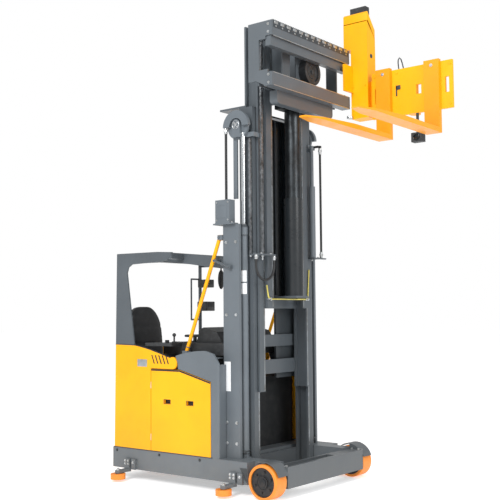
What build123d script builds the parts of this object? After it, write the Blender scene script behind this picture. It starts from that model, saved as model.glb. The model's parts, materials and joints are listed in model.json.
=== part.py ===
from build123d import *
import os

os.makedirs("parts", exist_ok=True)

# Millimetres. +X points forward, towards the mast, +Y to the truck's left, +Z up.
# The origin is on the floor, in the middle of the whole truck's length and width.

# Driving dimensions: chassis and wheels
rear_x = -1515.0
chassis_half_width = 710.0
skirt_bottom = 100.0
skirt_top = 290.0
skirt_front_x = 140.0
plate = 12.0
load_axle_x = 340.0
load_wheel_radius = 150.0
load_wheel_width = 150.0
load_wheel_reach = 52.0
load_wheel_outer_y = chassis_half_width + load_wheel_reach
tyre_thickness = 26.0
load_axle_radius = 30.0
running_gap = 0.05
beam_depth = 140.0
beam_bottom = 90.0
beam_top = 272.0
wheel_side_gap = 10.0
roller_radius = 70.0
roller_height = 50.0
roller_floor_gap = 23.0
roller_reach = 138.0
roller_centre_y = chassis_half_width + roller_reach
roller_rear_x = -1301.0
roller_front_x = -8.0
roller_pin_radius = 12.0

# Driving dimensions: drive unit and battery
drive_x = -1230.0
drive_y = -160.0
drive_wheel_radius = 172.0
drive_wheel_width = 110.0
drive_axle_radius = 26.0
drive_opening_half = 215.0
drive_ring_bottom = 455.0
drive_ring_top = 475.0
turret_radius = 120.0
motor_radius = 105.0
motor_height = 240.0
battery_front_x = -330.0
battery_length = 560.0
battery_half_width = 610.0
battery_height = 660.0

# Driving dimensions: body
door_rear_x = -1002.0
door_front_x = -270.0
door_kink_x = -640.0
door_top = 1050.0
door_front_top = 955.0
door_thickness = 22.0
panel_gap = 6.0
cover_top_rear = 1270.0
cover_thickness = 20.0
body_front_x = -175.0
floor_top = 560.0
seat_deck_top = 950.0
console_bottom = 1183.0
console_top = 1292.0

# Driving dimensions: seat
seat_offset = 255.0
seat_y = seat_offset - chassis_half_width
seat_half_width = 225.0
cushion_rear_x = -1350.0
cushion_front_x = -965.0
cushion_top = 1060.0
backrest_top = 1632.0
backrest_thickness = 105.0
recline = 7.0

# Driving dimensions: overhead guard
guard_top = 2150.0
guard_front_x = -262.0
guard_front_top = 2078.0
roof_half_width = 535.0
guard_plate = 14.0
post_x = -1445.0
post_y = 487.0

# Driving dimensions: mast
mast_half_width = 455.0
mast_front_x = 27.0
outer_depth = 150.0
outer_flange = 77.0
outer_web = 18.0
outer_bottom = 110.0
outer_top = 3440.0
middle_half_width = 408.0
middle_front_x = 55.0
middle_rear_x = -96.0
middle_flange = 80.0
middle_web_y = 355.0
mast_web = 17.0
middle_bottom = 860.0
middle_top = 4205.0
inner_half_width = 322.0
inner_front_x = 83.0
inner_rear_x = -62.0
inner_flange = 90.0
inner_bottom = 1605.0
inner_top = 4180.0
flange_thickness = 20.0
column_front_x = -22.0
column_rear_x = -205.0
column_y = 570.0
column_depth = 30.0
column_top = 2360.0

# Driving dimensions: cylinders
lift_cylinder_x = -46.0
lift_cylinder_y = 500.0
lift_tube_radius = 38.0
lift_rod_radius = 22.0
lift_tube_top = 2345.0
lift_rod_bottom = 1120.0
sheave_x = -97.0
sheave_z = 3256.0
side_hose_x = -222.0
side_hose_y = 530.0
free_lift_x = 120.0
free_lift_y = 40.0
free_tube_radius = 88.0
free_plunger_radius = 76.0
free_tube_top = 2630.0
free_plunger_bottom = 2560.0
free_plunger_top = 3445.0

# Driving dimensions: traverse frame
rail_front_x = 390.0
rail_depth = 90.0
rail_half_length = 633.0
upper_rail_top = 4122.0
upper_rail_bottom = 3990.0
lower_rail_top = 3664.0
lower_rail_bottom = 3544.0
carriage_plate_x = 216.0
carriage_plate = 12.0

# Driving dimensions: traverse carriage and turning head
carriage_clearance = 7.0
tower_front_y = rail_half_length + carriage_clearance
tower_depth = 150.0
tower_back_y = tower_front_y + tower_depth
tower_rear_x = 324.0
tower_front_x = 592.0
tower_bottom = 3442.0
tower_top = 4396.0
tower_chamfer = 154.0
tower_back_top = tower_top - tower_chamfer
swivel_motor_rise = 156.0
rail_gap = 14.0
pivot_x = 1046.0
pivot_y = tower_front_y + 105.0
pivot_radius = 46.0
pivot_pin_radius = 30.0
arm_half_width = 42.0
arm_bottom = 3480.0
arm_top = 3800.0
head_half_length = 418.0
head_plate_front_y = tower_front_y + 20.0
head_plate = 30.0
head_bottom = 3412.0
head_top = 3856.0
fork_width = 152.0
fork_thickness = 45.0
fork_blade = 1340.0
fork_bottom = 3190.0


def box(x0, x1, y0, y1, z0, z1):
    """A box between two opposite corners."""
    middle = ((x0 + x1) / 2, (y0 + y1) / 2, (z0 + z1) / 2)
    return Pos(*middle) * Box(abs(x1 - x0), abs(y1 - y0), abs(z1 - z0))


def post(x, y, z0, z1, radius):
    """An upright cylinder."""
    return Pos(x, y, (z0 + z1) / 2) * Cylinder(radius, z1 - z0)


def bar_y(x, z, y0, y1, radius):
    """A cylinder along Y."""
    return Pos(x, (y0 + y1) / 2, z) * Rot(90, 0, 0) * Cylinder(radius, abs(y1 - y0))


def rod(start, end, radius):
    """A straight round bar between two points."""
    axis = Vector(*end) - Vector(*start)
    plane = Plane(origin=start, z_dir=axis)
    return plane * Pos(0, 0, axis.length / 2) * Cylinder(radius, axis.length)


def side_plate(points, y0, y1):
    """A flat plate cut to an outline in X and Z, between two Y positions."""
    outline = make_face(Polyline(*[(x, 0, z) for x, z in points], close=True))
    return Pos(0, y0, 0) * extrude(outline, amount=y1 - y0, dir=(0, 1, 0))


def both_sides(solid):
    """The solid and its mirror image on the truck's other side."""
    return solid + mirror(solid, about=Plane.XZ)


def channel(web_y, x_rear, x_front, flange_inner_y, flange_outer_y, z0, z1):
    """One mast channel with its web at web_y and a flange along each edge."""
    shape = box(x_rear, x_front, web_y, web_y + mast_web, z0, z1)
    shape += box(x_rear, x_rear + flange_thickness, flange_inner_y, flange_outer_y, z0, z1)
    shape += box(x_front - flange_thickness, x_front, flange_inner_y, flange_outer_y, z0, z1)
    return shape


def pipe(points, bend, radius):
    """A round pipe or hose through the points, with bends of one radius."""
    path = FilletPolyline(*points, radius=bend)
    return sweep(Plane(origin=path @ 0, z_dir=path % 0) * Circle(radius), path=path)


def write(name, shape):
    """Writes one piece as its own file."""
    shape.label = name
    export_step(shape, f"parts/{name}.step")


# Chassis: a skirt with a deck, open below, and a bay for the mast
bay_rear_x = mast_front_x - outer_depth - 60
bay_half_width = mast_half_width + 12
beam_front_x = load_axle_x + load_wheel_radius
beam_rear_x = beam_front_x - beam_depth
beam_half_length = load_wheel_outer_y - load_wheel_width - wheel_side_gap
inner_half = chassis_half_width - plate
tub = box(rear_x, skirt_front_x, -chassis_half_width, chassis_half_width, skirt_bottom, skirt_top)
tub -= box(rear_x + plate, skirt_front_x - plate, -inner_half, inner_half, 0, skirt_top - plate)
tub -= box(
    drive_x - drive_opening_half,
    drive_x + drive_opening_half,
    drive_y - drive_opening_half,
    drive_y + drive_opening_half,
    skirt_bottom,
    skirt_top + 1,
)
tub -= box(bay_rear_x, skirt_front_x + 1, -bay_half_width, bay_half_width, 0, skirt_top + 1)
tub += box(bay_rear_x - plate, bay_rear_x, -bay_half_width, bay_half_width, skirt_bottom, skirt_top)
tub += both_sides(
    box(bay_rear_x - plate, beam_rear_x, bay_half_width, beam_half_length, skirt_bottom, skirt_top)
)
tub += box(bay_rear_x, skirt_front_x, -bay_half_width, bay_half_width, skirt_bottom - 4, outer_bottom)
write("chassis_frame", tub)

# Beam across the front, with a shallow well along its top and a curved cover over each wheel
well_depth = 45.0
well_front_wall = 34.0
well_rear_wall = 22.0
well_right_end = 60.0
well_left_y = 170.0
cover_gap = 14.0
cover_plate = 6.0
cover_rear_reach = 90.0
cover_front_height = 205.0
cover_outer = load_wheel_radius + cover_gap + cover_plate
cover_end_y = load_wheel_outer_y - 22
beam = box(beam_rear_x, beam_front_x, -beam_half_length, beam_half_length, beam_bottom, beam_top)
beam -= box(
    beam_rear_x + well_rear_wall,
    beam_front_x - well_front_wall,
    well_right_end - beam_half_length,
    well_left_y,
    beam_top - well_depth,
    beam_top + 1,
)
wheel_cover = bar_y(load_axle_x, load_wheel_radius, beam_half_length, cover_end_y, cover_outer)
wheel_cover -= bar_y(load_axle_x, load_wheel_radius, 0, 2 * cover_end_y, cover_outer - cover_plate)
wheel_cover &= box(
    load_axle_x - cover_rear_reach, beam_front_x + 50, 0, cover_end_y, cover_front_height, 2 * beam_top
)
cheek = bar_y(load_axle_x, load_wheel_radius, beam_half_length - plate, beam_half_length, cover_outer)
cheek &= box(beam_rear_x, beam_front_x, 0, beam_half_length, load_wheel_radius, 2 * beam_top)
write("load_wheel_beam", beam + both_sides(wheel_cover + cheek))

# Load wheels: a cast hub, a solid tyre pressed on it, and the axle stub that carries them
wheel_inner_y = load_wheel_outer_y - load_wheel_width
hub_radius = load_wheel_radius - tyre_thickness
hub_recess = 14.0
hub_cap_radius = 50.0
tyre_rounding = 10.0
sides = (("right", -1), ("left", 1))
for side_name, side in sides:
    inner_y = side * wheel_inner_y
    outer_y = side * load_wheel_outer_y
    tyre = bar_y(load_axle_x, load_wheel_radius, inner_y, outer_y, load_wheel_radius)
    tyre -= bar_y(load_axle_x, load_wheel_radius, inner_y - side, outer_y + side, hub_radius)
    rims = tyre.edges().filter_by(GeomType.CIRCLE).group_by(SortBy.RADIUS)[-1]
    write(f"load_tyre_{side_name}", fillet(rims, tyre_rounding))
    hub = bar_y(load_axle_x, load_wheel_radius, inner_y, outer_y - side * hub_recess, hub_radius)
    hub += bar_y(load_axle_x, load_wheel_radius, inner_y, outer_y - side * 6, hub_cap_radius)
    hub -= bar_y(
        load_axle_x, load_wheel_radius, inner_y - side, outer_y - side * 20, load_axle_radius + running_gap
    )
    write(f"load_wheel_hub_{side_name}", hub)
axle = bar_y(load_axle_x, load_wheel_radius, beam_half_length, load_wheel_outer_y - 24, load_axle_radius)
axle += bar_y(load_axle_x, load_wheel_radius, beam_half_length, wheel_inner_y - 2, 48)
write("load_axles", both_sides(axle))

# Guide rollers that run along the aisle rails, and the brackets that carry them
roller_top = roller_floor_gap + roller_height
arm_z0 = roller_top + 4
arm_z1 = arm_z0 + 26
boss_radius = 30.0
pad_depth = 26.0
pad_height = 120.0
lug_x0 = 60.0
lug_x1 = 110.0
rollers = (
    ("rear_right", roller_rear_x, -1),
    ("front_right", roller_front_x, -1),
    ("rear_left", roller_rear_x, 1),
    ("front_left", roller_front_x, 1),
)
brackets = None
for roller_name, x, side in rollers:
    y = side * roller_centre_y
    skirt_y = side * chassis_half_width
    pad_y = side * (chassis_half_width + pad_depth)
    roller = post(x, y, roller_floor_gap, roller_top, roller_radius)
    roller -= post(x, y, 0, roller_top + 1, roller_pin_radius + running_gap)
    write(f"guide_roller_{roller_name}", roller)
    bracket = post(x, y, roller_floor_gap + 6, arm_z1, roller_pin_radius)
    bracket += post(x, y, arm_z0, arm_z1, boss_radius)
    bracket += box(x - boss_radius, x + boss_radius, y, skirt_y, arm_z0, arm_z1)
    bracket += box(x - boss_radius - 4, x + boss_radius + 4, skirt_y, pad_y, arm_z0, arm_z0 + pad_height)
    bracket += box(x + lug_x0, x + lug_x1, skirt_y, pad_y, skirt_bottom, arm_z0 + pad_height)
    brackets = bracket if brackets is None else brackets + bracket
write("guide_roller_brackets", brackets)

# Drive unit: a steered gearbox that carries the drive wheel, hung in a ring over the deck
wheel_half = drive_wheel_width / 2
case_gap = 8.0
case_thickness = 60.0
case_radius = 95.0
case_y0 = drive_y + wheel_half + case_gap
case_y1 = case_y0 + case_thickness
yoke_bottom = 2 * drive_wheel_radius + 20
drive_wheel = bar_y(drive_x, drive_wheel_radius, drive_y - wheel_half, drive_y + wheel_half, drive_wheel_radius)
drive_wheel = fillet(drive_wheel.edges().filter_by(GeomType.CIRCLE), tyre_rounding)
drive_wheel -= bar_y(
    drive_x, drive_wheel_radius, drive_y - wheel_half, drive_y + wheel_half, drive_axle_radius + running_gap
)
write("drive_wheel", drive_wheel)
case = bar_y(drive_x, drive_wheel_radius, case_y0, case_y1, case_radius)
case += box(drive_x - 70, drive_x + 70, case_y0, case_y1, drive_wheel_radius, drive_ring_bottom)
case += bar_y(drive_x, drive_wheel_radius, drive_y - wheel_half + 4, case_y0, drive_axle_radius)
case += box(drive_x - 80, drive_x + 80, drive_y - 70, case_y1, yoke_bottom, drive_ring_bottom)
case += post(drive_x, drive_y, drive_ring_bottom - 40, drive_ring_top + 20, turret_radius)
case &= post(drive_x, drive_y, 0, drive_ring_top + 20, drive_opening_half - 20)
write("drive_unit", case)
motor_bottom = drive_ring_top + 20
write("traction_motor", post(drive_x, drive_y, motor_bottom, motor_bottom + motor_height, motor_radius))
ring_half = 240.0
ring = box(
    drive_x - ring_half, drive_x + ring_half, drive_y - ring_half, drive_y + ring_half, drive_ring_bottom, drive_ring_top
)
ring -= post(drive_x, drive_y, 0, drive_ring_top + 1, turret_radius + running_gap)
for leg_y in (drive_y - ring_half, drive_y + ring_half - plate):
    ring += box(drive_x - ring_half, drive_x + ring_half, leg_y, leg_y + plate, skirt_top, drive_ring_bottom)
write("drive_mount", ring)

# Battery, one plain block on the deck
battery_rear_x = battery_front_x - battery_length
battery_top = skirt_top + battery_height
write(
    "battery",
    box(battery_rear_x, battery_front_x, -battery_half_width, battery_half_width, skirt_top, battery_top),
)

# Doors over the battery bay, hinged along their rear edges, with two finger holes each
door_bottom = skirt_top + panel_gap
door_outline = (
    (door_rear_x, door_bottom),
    (door_front_x, door_bottom),
    (door_front_x, door_front_top),
    (door_kink_x, door_top),
    (door_rear_x, door_top),
)
finger_holes = (-797.0, -516.0)
finger_half_length = 38.0
finger_z0 = 738.0
finger_z1 = 772.0
for side_name, side in sides:
    door_y = side * chassis_half_width
    door = side_plate(door_outline, door_y - side * door_thickness, door_y)
    for x in finger_holes:
        door -= box(x - finger_half_length, x + finger_half_length, 0, 2 * door_y, finger_z0, finger_z1)
    write(f"battery_door_{side_name}", door)

# Rear cover: side walls whose top sweeps forward to a rounded nose above the doors
nose_bottom = door_top + panel_gap
wall_front_x = door_rear_x - panel_gap
wall_rear_x = rear_x + 20
cover_inner_y = chassis_half_width - cover_thickness
entry_rear_x = -1440.0
entry_front_x = -1020.0
top_edge = ThreePointArc((-1218, 0, 1264), (-1018, 0, 1226), (-760, 0, 1157))
nose_edge = ThreePointArc((-760, 0, 1157), (-676, 0, 1105), (-735, 0, nose_bottom))
cover_edges = Polyline(
    (-735, 0, nose_bottom),
    (wall_front_x, 0, nose_bottom),
    (wall_front_x, 0, skirt_top),
    (wall_rear_x, 0, skirt_top),
    (wall_rear_x + 14, 0, cover_top_rear),
    (-1218, 0, 1264),
)
cover_face = make_face([top_edge, nose_edge, cover_edges])
right_wall = Pos(0, -chassis_half_width, 0) * extrude(cover_face, amount=cover_thickness, dir=(0, 1, 0))
left_wall = mirror(right_wall, about=Plane.XZ)
left_wall -= box(entry_rear_x, entry_front_x, 0, 2 * chassis_half_width, floor_top, 2 * cover_top_rear)
rear_wall = box(
    wall_rear_x, wall_rear_x + cover_thickness, -cover_inner_y, cover_inner_y, skirt_top, cover_top_rear - 10
)
write("rear_cover", right_wall + left_wall + rear_wall)

# Operator's floor on the left, seat deck on the right, and the bulkhead behind the battery
bulkhead_x = battery_rear_x - 40
cab_rear_x = rear_x + 45
cab_half = cover_inner_y - 6
step_y = 110.0
step_wall_y = 124.0
sheet = 20.0
cab = box(cab_rear_x, bulkhead_x, step_y, cab_half, floor_top - sheet, floor_top)
cab += box(cab_rear_x, bulkhead_x, step_y, step_wall_y, skirt_top, seat_deck_top)
cab += box(bulkhead_x - 14, bulkhead_x, -cab_half, cab_half, skirt_top, console_bottom)
cab += box(cab_rear_x, bulkhead_x, -cab_half, step_wall_y, seat_deck_top - sheet, seat_deck_top)
write("cab_floor", cab)

# Seat facing forward on the seat deck, with a rounded backrest
seat_y0 = seat_y - seat_half_width
seat_y1 = seat_y + seat_half_width
cushion = box(cushion_rear_x, cushion_front_x, seat_y0, seat_y1, seat_deck_top + 0.5, cushion_top)
write("seat_cushion", fillet(cushion.edges().filter_by(Axis.Z), 50))
shoulder_z = backrest_top - seat_half_width
back_arc = ThreePointArc((0, seat_y1, shoulder_z), (0, seat_y, backrest_top), (0, seat_y0, shoulder_z))
back_edges = Polyline(
    (0, seat_y0, shoulder_z), (0, seat_y0, cushion_top), (0, seat_y1, cushion_top), (0, seat_y1, shoulder_z)
)
backrest = extrude(make_face([back_arc, back_edges]), amount=backrest_thickness, dir=(1, 0, 0))
backrest = fillet(backrest.edges().group_by(Axis.X)[-1], 35)
lean = Pos(cushion_rear_x - 10, 0, cushion_top + 3) * Rot(0, -recline, 0) * Pos(0, 0, -cushion_top)
write("seat_backrest", lean * backrest)

# Console across the truck in front of the operator, with an arm beside the seat, a cowl and a lever
console_rear_x = -1000.0
console_front_x = -250.0
console_half = 545.0
arm_rear_x = -1100.0
arm_front_x = -760.0
console = box(console_rear_x, console_front_x, -console_half, console_half, console_bottom, console_top)
console += box(arm_rear_x, arm_front_x, -cover_inner_y, -console_half, console_bottom + 80, console_top)
console = fillet(console.edges().filter_by(Axis.Z).group_by(Axis.X)[-1], 20)
cowl = side_plate(
    ((-650, console_top), (-605, 1410), (-560, 1436), (-400, 1395), (-330, console_top)), -470, 330
)
lever_x = -800.0
lever_y = -610.0
lever = post(lever_x, lever_y, console_top, 1356, 8)
lever += post(lever_x, lever_y, console_top, console_top + 14, 22)
lever += Pos(lever_x, lever_y, 1366) * Sphere(18)
write("console", console + fillet(cowl.edges().filter_by(Axis.Y).group_by(Axis.Z)[-1], 20) + lever)

# Hand wheel with its column
hand_wheel_x = -790.0
hand_wheel_y = -330.0
hand_wheel_z = 1352.0
hand_wheel_radius = 90.0
hand_wheel = Pos(hand_wheel_x, hand_wheel_y, hand_wheel_z) * Torus(hand_wheel_radius, 11)
hand_wheel += Pos(hand_wheel_x, hand_wheel_y, hand_wheel_z) * Box(2 * hand_wheel_radius - 8, 24, 10)
hand_wheel += post(hand_wheel_x, hand_wheel_y, console_top, hand_wheel_z + 8, 18)
write("steering_wheel", hand_wheel)

# Grey panels of the front body, with a rounded top edge and a flat front face
panel_thickness = 20.0
panel_arc = ThreePointArc((-692, 0, 1178), (-512, 0, 1217), (-331, 0, 1230))
panel_edges = Polyline(
    (-331, 0, 1230),
    (-237, 0, 1205),
    (body_front_x, 0, 1120),
    (body_front_x, 0, skirt_top),
    (door_front_x + panel_gap, 0, skirt_top),
    (door_front_x + panel_gap, 0, door_front_top + panel_gap),
    (door_front_x, 0, door_front_top + panel_gap),
    (door_kink_x, 0, nose_bottom),
    (-660, 0, nose_bottom),
    (-664, 0, 1110),
    (-692, 0, 1178),
)
panel_face = make_face([panel_arc, panel_edges])
panel = Pos(0, chassis_half_width - panel_thickness, 0) * extrude(
    panel_face, amount=panel_thickness, dir=(0, 1, 0)
)
panel += box(body_front_x - 40, body_front_x, column_y + column_depth + 6, chassis_half_width, skirt_top, 1110)
front_edges = panel.edges().filter_by(Axis.Z).group_by(Axis.X)[-1]
panel = fillet(front_edges.group_by(Axis.Y)[-1], 18)
panel += box(-680, -252, console_half + 15, chassis_half_width - panel_thickness, 1158, 1170)
write("front_panels", both_sides(panel))

# Overhead guard: a wide pillar on the right, a roof of bars, and two arms to the columns
pillar_foot = 255.0
pillar_rear = wall_rear_x + 14
guard_rear_x = rear_x + 47
pillar = side_plate(
    (
        (pillar_rear, cover_top_rear),
        (pillar_rear + pillar_foot, cover_top_rear - 6 * pillar_foot / 263),
        (-1328, 1960),
        (-1310, 2012),
        (-1262, 2040),
        (-1150, 2044),
        (-860, 2052),
        (-796, 2064),
        (-732, 2135),
        (-925, guard_top - 4),
        (guard_rear_x, guard_top),
    ),
    -chassis_half_width,
    guard_plate - chassis_half_width,
)
roof_side = side_plate(
    (
        (guard_rear_x, 2060),
        (-900, 2058),
        (-560, 2010),
        (guard_front_x, guard_front_top - 108),
        (guard_front_x, guard_front_top),
        (-900, guard_top - 4),
        (guard_rear_x, guard_top - 4),
    ),
    roof_half_width - guard_plate,
    roof_half_width,
)
guard = pillar + both_sides(roof_side)
bar_width = 60.0
bar_depth = 56.0
wide_bars = ((guard_rear_x, 2146), (-1250, 2144), (-1020, 2143), (-800, 2130))
narrow_bars = ((-580, 2108), (guard_front_x - bar_width, guard_front_top - 4))
for x, top in wide_bars:
    guard += box(x, x + bar_width, 2 - chassis_half_width, roof_half_width - 2, top - bar_depth, top)
for x, top in narrow_bars:
    guard += box(x, x + bar_width, 2 - roof_half_width, roof_half_width - 2, top - bar_depth, top)
guard += post(post_x, post_y, floor_top, 2100, 18)
arm_y = 630.0
guard_arm = bar_y(-290, 2040, roof_half_width, arm_y + 6, 11)
guard_arm += rod((-290, arm_y, 2040), (-110, arm_y, 1975), 11)
guard_arm += box(-125, -95, column_y + column_depth, arm_y + 6, 1960, 1990)
guard += both_sides(guard_arm)
rail_y = post_y - 141
grab = rod((post_x, post_y, 1930), (post_x, rail_y, 1930), 9)
grab += rod((post_x, rail_y, 1500), (post_x, rail_y, 1930), 9)
grab += rod((post_x, post_y, 1500), (post_x, rail_y, 1500), 9)
grab += Pos(post_x, rail_y, 1930) * Sphere(9) + Pos(post_x, rail_y, 1500) * Sphere(9)
write("overhead_guard", guard + grab)

# Two terminals on the post, and the mirror under the roof
terminals = box(post_x + 18, post_x + 150, post_y - 60, post_y + 60, 1840, 1925)
terminals += box(post_x + 18, post_x + 150, post_y - 70, post_y + 70, 1590, 1690)
write("terminals", fillet(terminals.edges(), 8))
mirror_x = -990.0
mirror_y = 300.0
mirror_glass = Pos(mirror_x, mirror_y, 1912) * scale(Sphere(50), by=(0.4, 0.9, 2.0))
mirror_glass += post(mirror_x, mirror_y, 1990, 2143 - bar_depth, 8)
write("mirror", mirror_glass)

# Columns that hold the mast upright at both sides, with a shelf on top and a valve box on the right
tie = 22.0
outer_rear_x = mast_front_x - outer_depth
column = box(column_rear_x, column_front_x, column_y, column_y + column_depth, skirt_top, column_top)
column += box(-200, -165, 430, column_y, 2285, 2310)
column += box(-200, outer_rear_x - tie, 430, mast_half_width, 2285, 2310)
column += box(-290, -60, 560, 640, column_top, column_top + 12)
column += box(-290, -190, 500, 560, column_top, column_top + 12)
column -= post(side_hose_x, side_hose_y, column_top - 1, column_top + 13, 20)
valve_box = box(-262, -98, -640, -560, column_top + 12, 2582)
write("mast_columns", both_sides(column) + valve_box)

# Diagonal braces from the columns down to the body, with a clevis at each end
brace_y = roof_half_width + 59.0
brace = rod((-250, brace_y, 2246), (-661, brace_y, 1204), 17)
brace += box(-684, -638, brace_y - 23, brace_y + 23, 1170, 1212)
brace += box(-270, column_rear_x, column_y + 4, column_y + column_depth - 4, 2222, 2272)
write("mast_braces", both_sides(brace))

# Outer mast: two channels open towards each other, tied behind
outer_inner_y = mast_half_width - outer_flange
outer_side = box(outer_rear_x, mast_front_x, outer_inner_y, mast_half_width, outer_bottom, outer_top)
outer_side -= box(outer_rear_x + tie, mast_front_x - tie, 0, mast_half_width - outer_web, 0, outer_top + 1)
outer = both_sides(outer_side)
for z, height in ((outer_bottom, 160), (1250, 110), (2200, 110)):
    outer += box(outer_rear_x - tie, outer_rear_x, -mast_half_width, mast_half_width, z, z + height)
outer += box(-355, outer_rear_x - 6, -mast_half_width, mast_half_width, outer_top, outer_top + 16)
outer += both_sides(
    box(outer_rear_x - 6, -47, middle_half_width + 7, mast_half_width, outer_top, outer_top + 16)
)
write("outer_mast", outer)

# Middle mast: channels nested in the outer ones, tied behind
middle_tie_y = middle_web_y + mast_web
middle = both_sides(
    channel(
        middle_web_y,
        middle_rear_x,
        middle_front_x,
        middle_half_width - middle_flange,
        middle_half_width,
        middle_bottom,
        middle_top,
    )
)
for z, height in ((1000, 130), (2700, 90), (middle_top - 120, 120)):
    middle += box(middle_rear_x - flange_thickness, middle_rear_x, -middle_tie_y, middle_tie_y, z, z + height)
anchor_z0 = 2080.0
anchor_z1 = 2092.0
anchor = box(104, 137, 352, 560, anchor_z0, anchor_z1)
anchor += box(middle_front_x, 104, 372, middle_half_width, anchor_z0, anchor_z1)
anchor += box(6, 104, 470, 494, anchor_z0, anchor_z1)
middle += both_sides(anchor) + box(104, 137, -352, -262, anchor_z0, anchor_z1)
write("middle_mast", middle)

# Inner mast: channels nested in the middle ones, with rollers, ties and the lift cylinder's foot
inner_web_y = inner_half_width - mast_web
foot_top = inner_bottom + 115
inner = channel(
    inner_web_y, inner_rear_x, inner_front_x, inner_half_width - inner_flange, inner_half_width, inner_bottom, inner_top
)
guide_x = (middle_rear_x + middle_front_x) / 2
for z in (inner_bottom + 60, inner_bottom + 900):
    inner += bar_y(guide_x, z, inner_half_width, middle_web_y - 6, 50)
inner = both_sides(inner)
for z, height in ((inner_bottom, 95), (inner_top - 120, 120)):
    inner += box(inner_rear_x, inner_rear_x + flange_thickness, -inner_web_y, inner_web_y, z, z + height)
inner += box(inner_rear_x, free_lift_x + 90, free_lift_y - 95, free_lift_y + 95, inner_bottom + 95, foot_top)
write("inner_mast", inner)
write("mast_screen", box(inner_rear_x - 6, inner_rear_x, -300, 300, inner_bottom + 95, 3395))

# Lift cylinders beside the mast, and their rods with the sheave brackets
foot_height = 10.0
tube_bottom = skirt_top + foot_height
tube = post(lift_cylinder_x, lift_cylinder_y, tube_bottom, lift_tube_top, lift_tube_radius)
tube += post(lift_cylinder_x, lift_cylinder_y, lift_tube_top - 90, lift_tube_top, lift_tube_radius + 4)
tube -= post(lift_cylinder_x, lift_cylinder_y, tube_bottom + 30, lift_tube_top + 1, lift_rod_radius + running_gap)
tube += box(lift_cylinder_x - 44, lift_cylinder_x + 44, 471, 545, skirt_top, tube_bottom)
write("lift_cylinder_tubes", both_sides(tube))
lift_rod = post(lift_cylinder_x, lift_cylinder_y, lift_rod_bottom, sheave_z - 60, lift_rod_radius)
write("lift_rods", both_sides(lift_rod))
ring_inner = 74.0
ring_outer = 146.0
ring_y0 = 512.0
ring_y1 = 548.0
ear_y = 488.0
sheave = bar_y(sheave_x, sheave_z, ring_y0, ring_y1, ring_outer) - bar_y(sheave_x, sheave_z, 0, 600, ring_inner)
sheave &= box(sheave_x - 200, sheave_x + 200, ring_y0, ring_y1, sheave_z, sheave_z + 200)
sheave += bar_y(sheave_x, sheave_z, ear_y, ring_y0, ring_outer - 30)
sheave += box(sheave_x - 45, sheave_x + 45, ear_y, ring_y1 - 6, sheave_z - 100, sheave_z + 20)
sheave += bar_y(sheave_x, sheave_z + 20, ear_y, ring_y1 - 6, 45)
sheave += box(-120, 67, 470, ear_y, sheave_z - 100, sheave_z - 60)
sheave += box(middle_front_x, 67, middle_half_width - 40, 480, sheave_z - 100, sheave_z - 60)
sheave += box(-155, -110, 492, 506, 2600, sheave_z - 60)
sheave -= lift_rod
write("sheave_brackets", both_sides(sheave))

# Free-lift cylinder in front of the inner mast, and its plunger with the chain crosshead
free_tube = post(free_lift_x, free_lift_y, foot_top, free_tube_top, free_tube_radius)
free_tube -= post(free_lift_x, free_lift_y, foot_top + 20, free_tube_top + 1, free_plunger_radius + running_gap)
write("free_lift_cylinder", free_tube)
crosshead_top = free_plunger_top + 50
plunger = post(free_lift_x, free_lift_y, free_plunger_bottom, free_plunger_top, free_plunger_radius)
plunger += box(free_lift_x - 40, free_lift_x + 40, -185, 185, free_plunger_top, crosshead_top)
for y in (-150, 150):
    plunger += bar_y(free_lift_x, crosshead_top + 10, y - 18, y + 18, 55)
write("free_lift_plunger", plunger)

# Chains, side cylinder, hoses and pipe carried by the middle and inner masts
chain = box(middle_front_x + 13, middle_front_x + 37, -404, -376, anchor_z1, 4000)
chain += box(middle_front_x, middle_front_x + 37, -404, -376, 4000, 4030)
write("lift_chains", chain + both_sides(box(6, 30, 470, 494, anchor_z1, sheave_z - 100)))
side_cylinder = post(105, 374, anchor_z1, 2780, 30) + post(105, 374, 2780, 3180, 18)
side_cylinder += box(middle_front_x, 105, 364, 384, 3120, 3150)
write("side_cylinder", side_cylinder)
hose_radius = 11.0
loop_x = 125.0
loop = pipe(
    (
        (loop_x, -542, anchor_z0),
        (loop_x, -542, 1858),
        (loop_x, -277, 1858),
        (loop_x, -277, anchor_z0),
    ),
    132,
    hose_radius,
)
far_hose = post(119, 500, anchor_z1, sheave_z - 60, hose_radius)
far_hose += box(67, 119, 470, ear_y, sheave_z - 80, sheave_z - 60)
far_hose += box(100, 130, ear_y, 511, sheave_z - 80, sheave_z - 60)
side_hose = post(side_hose_x, side_hose_y, 1240, sheave_z, 12)
write("mast_hoses", loop + far_hose + both_sides(side_hose))
pipe_x = inner_front_x + 7
low_pipe = ((pipe_x, -344, 1815), (pipe_x, -316, 1690), (pipe_x, 301, 1690), (pipe_x, 325, 1973))
write("mast_pipe", pipe(low_pipe, 40, 7))

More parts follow.
